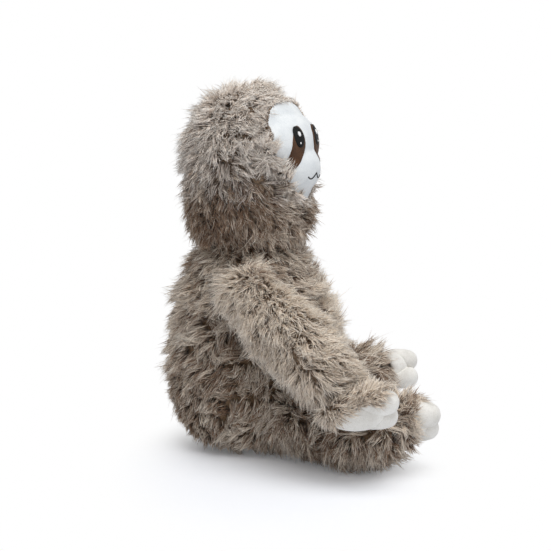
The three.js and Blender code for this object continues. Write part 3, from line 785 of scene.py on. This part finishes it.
armCombs = [
    comb((-68, -4, 156), 12, (-1, 0.3, -0.8), pull=1.4, tone=-0.32),
    # The arm's back edge is paler: painted light that sets it off from the torso's painted shade behind it.
    comb((-80, 12, 140), 14, (0, 0.6, -0.9), pull=0.9, tone=0.3),
    comb((-86, 24, 106), 13, (0, 0.5, -1), pull=0.9, tone=0.1, lean=-6),
    comb((-105, -20, 115), 20, (0, -0.3, -1), pull=0.9, tone=0.1),
    comb((-100, -6, 74), 14, (0, 0.8, -0.6), pull=1.1, tone=0.12, lean=6),
    comb((-122, -48, 92), 18, (0, -0.6, -0.8), tone=-0.06),
    comb((-84, -36, 124), 15, (0, -0.3, -0.9), length=2, tone=0.1),
    comb((-122, -72, 73), 10, (0, -1, -0.6), lean=-4, length=3, tone=0.04),
    comb((-122, -84, 84), 16, (0, -1, -0.45), pull=1.2, length=1),
    comb((-123, -56, 50), 12, (0, 0.5, -0.9), pull=1.5, lean=8, tone=-0.08),
    comb((-126, -78, 60), 12, (0, -1, -0.35), pull=1.6, lean=10, tone=-0.25),
]
legCombs = [
    # The leg's lower band and its underside by the floor are darker: painted shade low down.
    comb((-88, -50, 26), 26, (-0.1, -0.8, -0.6), pull=1.2, tone=-0.25, length=2),
    comb((-98, -90, 14), 20, (-0.1, -0.3, -1), pull=1.2, tone=-0.15, length=2),
    comb((-97, -100, 45), 20, "away", pull=1.2, tone=0.15),
    comb((-97, -100, 45), 7, lean=-12),
    comb((-82, -106, 60), 15, (0, -0.5, 0.3), lean=-20, length=3, tone=0.2),
    comb((-84, -124, 34), 15, (0, -1, 0.05), pull=1.8, tone=0.5, length=2),
]


farOff = 999  # mm, for places that lie outside by any measure


def beyondFace(where):  # how far outside the face's outline a place on the head's front lies, in mm
    local = where @ headTurn / mm
    halves, ups = np.array(face["edgeShares"][::-1], float).T
    outline = np.stack([halves * face["halfWidth"], ups * face["height"] + face["bottom"]], 1)
    outline = np.concatenate([outline, outline[::-1] * (-1, 1)])
    spots = local[:, None, ::2]
    begin, along = outline[None], np.roll(outline, -1, 0)[None] - outline[None]
    size = np.maximum((along ** 2).sum(2), 1e-9)
    share = np.clip(((spots - begin) * along).sum(2) / size, 0, 1)
    apart = np.linalg.norm(spots - begin - along * share[..., None], axis=2).min(1)
    half = np.interp(local[:, 2], ups * face["height"] + face["bottom"], halves, left=-1, right=-1)
    apart = np.where(np.abs(local[:, 0]) < half * face["halfWidth"], -apart, apart)
    return np.where(local[:, 1] < 0, apart, farOff)


def mirrorCombs(combs):  # the combs, and the same ones on the other side
    both = list(combs)
    for each in combs:
        if each["at"][0] != 0 and not each["alone"]:
            other = dict(each, at=(-each["at"][0], *each["at"][1:]))
            if isinstance(each["way"], tuple):
                other["way"] = (-each["way"][0], *each["way"][1:])
            both.append(other)
    return both


# How each pile lies before it is combed, and the size in mm and the strength of its swirl.
lays = {
    "head": {"base": (0, -0.55, -0.8), "size": 26, "strength": 0.3, "seed": 4},
    "torso": {"base": (0, 0, -1), "size": 24, "strength": 0.5, "seed": 3, "lowUp": 60, "lowStrength": 0.7},
    "arm": {"base": (0, -0.2, -1), "size": 24, "strength": 0.4, "seed": 9},
    "leg": {"base": (0, -0.5, -0.8), "size": 24, "strength": 0.4, "seed": 6},
}


def headFlow(where):
    lay = lays["head"]
    flow, change = combed(where @ headTurn, lay["base"], mirrorCombs(headCombs))
    return flow @ headTurn.T + swirl(where, lay) * lay["strength"], change


def torsoFlow(where):  # more tousled near the seat
    lay = lays["torso"]
    flow, change = combed(where, lay["base"], mirrorCombs(torsoCombs))
    low = np.clip(1 - where[:, 2] / mm / lay["lowUp"], 0, 1)[:, None]
    return flow + swirl(where, lay) * (lay["strength"] + lay["lowStrength"] * low), change


# The left limbs are the right ones mirrored, and the left arm hangs some degrees lower from its shoulder.
leftArm = {"hang": 15, "shoulder": (-57, -1, 133)}


def ownSign(body):
    return np.array([-1.0 if body.startswith("left") else 1.0, 1, 1])


def hangTurn(body):
    return np.array(Matrix.Rotation(math.radians(leftArm["hang"] if body == "left_arm" else 0), 3, "X"))


def toOwn(body, where):  # a limb's places as places on the right limb
    shoulder = np.array(leftArm["shoulder"]) * mm
    return (where * ownSign(body) - shoulder) @ hangTurn(body) + shoulder


def limbFlow(body, combs):
    lay = lays[body.split("_")[-1]]

    def flowAt(where):
        own = toOwn(body, where)
        flow, change = combed(own, lay["base"], combs)
        flow = (flow + swirl(own, lay) * lay["strength"]) @ hangTurn(body).T
        return flow * ownSign(body), change
    return flowAt


# What the piles share, sizes in mm and turns in degrees. A lock has strands and under hairs, which meet
# towards its tip by the clump, and the locks of a tuft share a turn, a pull to its middle and a tone. Real
# pile fibres are 0.05 mm thick, too fine to show, so each hair here stands for a small bunch of them.
commonPile = {
    "strands": 8, "under": 9, "underShare": 0.62, "underTone": -0.22, "width": 0.66, "loose": 0.045,
    "tuft": 8.0, "tuftTurn": 32, "tuftPull": 0.5, "tuftTone": 0.07, "lockRadius": 2.7, "lockTurn": 13,
    "lockTone": 0.1, "strandTone": 0.27, "leanSpread": 12, "lengthSpread": 1.6, "bend": 30, "curl": 0.24,
    "clump": 0.66, "stray": 0.08,
}
# The piles run pale on the head and arms, darker on the torso and darkest on the legs: partly the pile's own
# colour, partly painted light on the upper parts and painted shade low down.
piles = {
    "torso": dict(commonPile, length=17, spacing=3.3, lean=42, tone=0.76, clump=0.74, tuftPull=0.62,
                  tuftTone=0.22, lockTone=0.24, strandTone=0.4, flow=torsoFlow, seed=11),
    "head": dict(commonPile, length=15.5, spacing=2.9, lean=44, tone=0.96, tuftTurn=22,
                 flow=headFlow, seed=12),
}
for number, side in enumerate(sides):
    piles[f"{side}_arm"] = dict(
        commonPile, length=17, spacing=3.0, lean=46, tone=0.94, tuftTurn=20, tuftPull=0.3, leanSpread=9,
        underTone=-0.06, flow=limbFlow(f"{side}_arm", armCombs), seed=20 + number)
    piles[f"{side}_leg"] = dict(
        commonPile, length=16.5, spacing=3.0, lean=44, tone=0.46, clump=0.74, tuftPull=0.62, tuftTone=0.28,
        lockTone=0.32, strandTone=0.5, flow=limbFlow(f"{side}_leg", legCombs), seed=30 + number)

# The head's pile is greyer above the cheeks and as warm as the body's from there down, where it is also
# darker: painted shade on the head's lower side.
cheeks = {"up": 216, "spread": 7, "tone": -0.2, "strandTone": 0.34, "clump": 0.74}

# Locks are left out deep inside another body's ground, near the face's edge, and mostly where the seat rests.
hidden = {"depth": 2.5, "faceGap": 0.5, "downFacing": -0.85, "seatUp": 12, "seatShare": 0.35}


def layPile(name, body, where, facing, look, rng, material=None):
    flow, change = look["flow"](where)
    material = material or (greyFur if body == "head" else warmFur)
    for piece in growPile(name, where, facing, flow, change, look, rng):
        dress(piece, material, body, furSlot(body))


for body, look in piles.items():
    rng = np.random.default_rng(look["seed"])
    where, facing = scatterLocks(grounds[body], look["spacing"] * mm, rng)
    others = [piece for name, piece in grounds.items() if name != body]
    shown = depthInside(where, others) < hidden["depth"] * mm
    if body == "head":
        shown &= beyondFace(where + facing * backing["sink"] * mm) > hidden["faceGap"]
    seated = (facing[:, 2] < hidden["downFacing"]) & (where[:, 2] < hidden["seatUp"] * mm)
    shown &= ~seated | (rng.random(len(where)) < hidden["seatShare"])
    where, facing = where[shown], facing[shown]
    low = np.zeros(len(where), bool)
    if body == "head":
        low = where[:, 2] < rng.normal(cheeks["up"], cheeks["spread"], len(where)) * mm
        cheekLook = dict(look, tone=look["tone"] + cheeks["tone"], strandTone=cheeks["strandTone"],
                         clump=cheeks["clump"])
        layPile("head_low_pile", body, where[low], facing[low], cheekLook, rng, warmFur)
    layPile(f"{body}_pile", body, where[~low], facing[~low], look, rng)
print("pile grown")

# Hands and feet: puffy stuffed minky, each claw a small cushion of its own.
mitts = {"voxel": 1.1, "smooth": 14, "grow": 1.3, "parts": ("mitt", "upper_claw", "lower_claw")}
handPieces = {}
for side in sides:
    for end, limb in (("hand", "arm"), ("foot", "leg")):
        for part in mitts["parts"]:
            node = f"{side}_{end}_{part}"
            piece = softForm(copyNode(node, node + "_minky"), mitts["voxel"], mitts["smooth"], mitts["grow"])
            dress(piece, creamMinky, f"{side}_{limb}", "minky", node)
            handPieces[node] = piece
print("hands and feet made")

# The sleeve's long pile falls over the hand down to a line of forward and up places, and over the foot to
# its front place, further on the right foot than on the left.
cuffs = {
    "arm": {"end": "hand", "spacing": 2.3, "lean": 16, "length": -4, "seed": 50,
            "line": [(-106, 88), (-101, 79), (-92, 69), (-76, 63), (-66, 57), (-60, 47), (-50, 40)]},
    "leg": {"end": "foot", "front": {"right": -124, "left": -113}, "spacing": 2.3, "lean": 14, "length": -3,
            "seed": 50},
}


def underCuff(cuff, side, own):  # which of the right limb's own places the sleeve covers
    if "line" in cuff:
        forward, up = np.array(cuff["line"]).T
        return own[:, 2] / mm > np.interp(own[:, 1] / mm, forward, up, left=farOff)
    return own[:, 1] / mm > cuff["front"][side]


# A piece's triangles in the covered places get the pile's backing as their second material.
def backUnder(piece, isCovered):
    piece.data.materials.append(ground)
    covered = isCovered(readAll(piece.data.polygons, "center").astype(float))
    piece.data.polygons.foreach_set("material_index", covered.astype(np.int32))


for side, (limb, cuff) in itertools.product(sides, cuffs.items()):
    body = f"{side}_{limb}"
    look, spots = piles[body], []
    rng = np.random.default_rng(look["seed"] + cuff["seed"])
    for part in mitts["parts"]:
        piece = handPieces[f"{side}_{cuff['end']}_{part}"]
        backUnder(piece, lambda where: underCuff(cuff, side, toOwn(body, where)))
        spots.append(scatterLocks(piece, cuff["spacing"] * mm, rng))
    where, facing = (np.concatenate(group) for group in zip(*spots))
    shown = underCuff(cuff, side, toOwn(body, where)) & (depthInside(where, [grounds[body]]) < 0)
    cuffLook = dict(look, lean=look["lean"] + cuff["lean"], length=look["length"] + cuff["length"])
    if shown.any():
        layPile(f"{body}_cuff", body, where[shown], facing[shown], cuffLook, rng)
print("cuffs grown")

faceCloth = softForm(copyNode("face_panel", "face_cloth"), face["voxel"], face["smooth"], face["grow"])
dress(faceCloth, minky, "head", "minky", "face_panel")
faceTree = BVHTree.FromObject(faceCloth, bpy.context.evaluated_depsgraph_get())


# The head's short pile lies outwards on a rim of the face, which is widest at the sides.
rim = {"top": 0.6, "side": 3.2, "spacing": 2.0, "headShare": 0.5, "length": 9, "lean": 62, "tuftTurn": 14,
       "leanSpread": 7, "seed": 40}


def underRim(where):
    across = np.abs((where @ headTurn)[:, 0]) / mm / face["halfWidth"]
    return beyondFace(where) > -(rim["top"] + (rim["side"] - rim["top"]) * np.minimum(across, 1) ** 2)


def rimFlow(where):
    local = where @ headTurn
    outward = local - np.array([0, 0, face["bottom"] + face["height"] / 2]) * mm
    flow, change = headFlow(where)
    flow = unit(flow @ headTurn) * rim["headShare"] + unit(outward * (1, 0, 1))
    flow, tufts = combed(local, flow, tuftCombs)
    return flow @ headTurn.T, dict(tufts, tone=tufts["tone"] + change["tone"])


backUnder(faceCloth, underRim)
rng = np.random.default_rng(rim["seed"])
where, facing = scatterLocks(faceCloth, rim["spacing"] * mm, rng)
shown = underRim(where) & (depthInside(where, [grounds["head"]]) < 0)
rimChanges = {key: rim[key] for key in ("length", "lean", "tuftTurn", "leanSpread")}
rimLook = dict(piles["head"], flow=rimFlow, **rimChanges)
layPile("head_rim", "head", where[shown], facing[shown], rimLook, rng)


def onFace(across, up, height):  # the point over the face's cloth, seen along the head's own forward
    start = Vector(headTurn @ (across * mm, -face["ahead"] * mm, up * mm))
    spot, normal, _, _ = faceTree.ray_cast(start, Vector(headTurn @ (0.0, 1.0, 0.0)))
    return spot + normal * height * mm


def roundOutline(points, count):  # a closed smooth curve through the points
    points = np.array(points, float)
    size = len(points)
    made = []
    for index in range(count):
        at = index / count * size
        k, t = int(at), at - int(at)
        a, b, c, d = (points[(k + step - 1) % size] for step in range(4))
        made.append(0.5 * (2 * b + (c - a) * t + (2 * a - 5 * b + 4 * c - d) * t ** 2
                           + (3 * b - a - 3 * c + d) * t ** 3))
    return np.array(made)


# A stitched layer follows the face's bulge, which no operator does: rings of points dropped on the cloth go
# from its middle under the edge, round the rim and over the top. Each is an inset in rims, a share inwards
# and a rise.
layerRings = [(0, 0.85, 0), (0, 0.5, 0), (0, 0.2, 0), (0, 0, 0), (0, 0, 0.5), (0.35, 0, 0.85), (1, 0, 1),
              (1, 0.2, 1), (1, 0.5, 1), (1, 0.85, 1)]
leastRing = 0.05  # what an inset leaves of a ring at least


def layOnFace(name, outline, look):
    middle = outline.mean(0)
    away = outline - middle
    size = np.linalg.norm(away, axis=1, keepdims=True)
    vertices, faces, count = [onFace(*middle, look["low"])], [], len(outline)
    for inset, share, rise in layerRings:
        ring = middle + away * np.maximum(1 - inset * look["rim"] / size, leastRing) * (1 - share)
        vertices += [onFace(*point, look["low"] + (look["high"] - look["low"]) * rise) for point in ring]
    vertices.append(onFace(*middle, look["high"]))
    last = len(layerRings) - 1
    for k in range(count):
        after = (k + 1) % count
        faces.append((0, 1 + k, 1 + after))
        for ring in range(last):
            a, b = 1 + ring * count, 1 + (ring + 1) * count
            faces.append((a + after, a + k, b + k, b + after))
        faces.append((1 + last * count + after, 1 + last * count + k, len(vertices) - 1))
    mesh = bpy.data.meshes.new(name)
    mesh.from_pydata(vertices, [], faces)
    piece = addObject(name, mesh)
    editAll(piece, bpy.ops.mesh.normals_make_consistent, inside=False)
    mesh.shade_smooth()
    return piece


# Places on the face are in mm, across from its middle and up, and lows and highs in mm over its cloth. The
# patch's shares run across and down.
patch = {
    "inner": 7, "width": 20, "top": 262.3, "height": 38,
    "shares": [(0.2, 0), (0.07, 0.086), (0.02, 0.216), (0, 0.354), (0.07, 0.523), (0.315, 0.672),
               (0.565, 0.828), (0.74, 0.932), (0.88, 0.995), (0.99, 0.974), (0.97, 0.885), (0.87, 0.753),
               (0.785, 0.586), (0.715, 0.427), (0.62, 0.229), (0.42, 0.05)],
    "points": 72, "low": -0.4, "high": 0.9, "rim": 0.9,
}
eye = {"across": 13.5, "up": 253.9, "halfWidth": 5.1, "halfHeight": 7.9, "lean": 3, "points": 48,
       "low": 0.5, "high": 1.3, "rim": 0.8}
glint = {"across": 13.3, "up": 255.9, "halfWidth": 1.275, "halfHeight": 1.725, "lean": 0, "points": 24,
         "low": 1.2, "high": 2.0, "rim": 0.5}
# The small glint is white stitching low on the eye, where the black satin shows a dim reflection: a painted
# reflection.
paintedReflection = {"across": 13.6, "up": 249.2, "halfWidth": 0.5525, "halfHeight": 0.7475, "lean": 0, "points": 24,
              "low": 1.2, "high": 1.8, "rim": 0.3}
mouth = {"halfWidth": 9.3, "up": 225.8, "drop": 4.5, "cornerShare": 0.8, "radius": 0.55, "steps": 40,
         "roundSteps": 3}


def oval(sign, look):
    angle = np.linspace(0, 2 * math.pi, look["points"], endpoint=False)
    x, z = look["halfWidth"] * np.cos(angle), look["halfHeight"] * np.sin(angle)
    lean = math.radians(sign * look["lean"])
    return np.stack([sign * look["across"] + x * math.cos(lean) + z * math.sin(lean),
                     look["up"] + z * math.cos(lean) - x * math.sin(lean)], 1)


stitched = {
    "eye": (eye, blackStitch, "black_thread"),
    "eye_glint": (glint, whiteStitch, "white_thread"),
    # the small glint is a painted reflection
    "eye_small_glint": (paintedReflection, whiteStitch, "white_thread"),
}
for side, sign in sides.items():
    corners = [(sign * (patch["inner"] + across * patch["width"]), patch["top"] - down * patch["height"])
               for across, down in patch["shares"]]
    piece = layOnFace(f"{side}_eye_patch_cloth", roundOutline(corners, patch["points"]), patch)
    dress(piece, brownMinky, "head", "patch_brown", f"{side}_eye_patch")
    for name, (look, material, slot) in stitched.items():
        piece = layOnFace(f"{side}_{name}_stitching", oval(sign, look), look)
        dress(piece, material, "head", slot, f"{side}_{name}")


def sewMouth():  # two shallow bows of stitching that meet in the middle
    shares = np.linspace(-1, 1, mouth["steps"] + 1)
    curve = bpy.data.curves.new("mouth_stitching", "CURVE")
    curve.dimensions = "3D"
    curve.bevel_depth = mouth["radius"] * mm
    curve.bevel_resolution = mouth["roundSteps"]
    curve.use_fill_caps = True
    spline = curve.splines.new("POLY")
    spline.points.add(len(shares) - 1)
    for point, share in zip(spline.points, shares):
        up = mouth["up"] - mouth["drop"] * math.sin(math.pi * mouth["cornerShare"] * abs(share))
        point.co = (*onFace(share * mouth["halfWidth"], up, 0.0), 1)
    made = addObject("mouth_stitching", curve)
    makeActive(made)
    bpy.ops.object.convert(target="MESH")
    made.data.shade_smooth()
    return made


dress(sewMouth(), blackStitch, "head", "black_thread", "mouth_stitch")
print("face made")
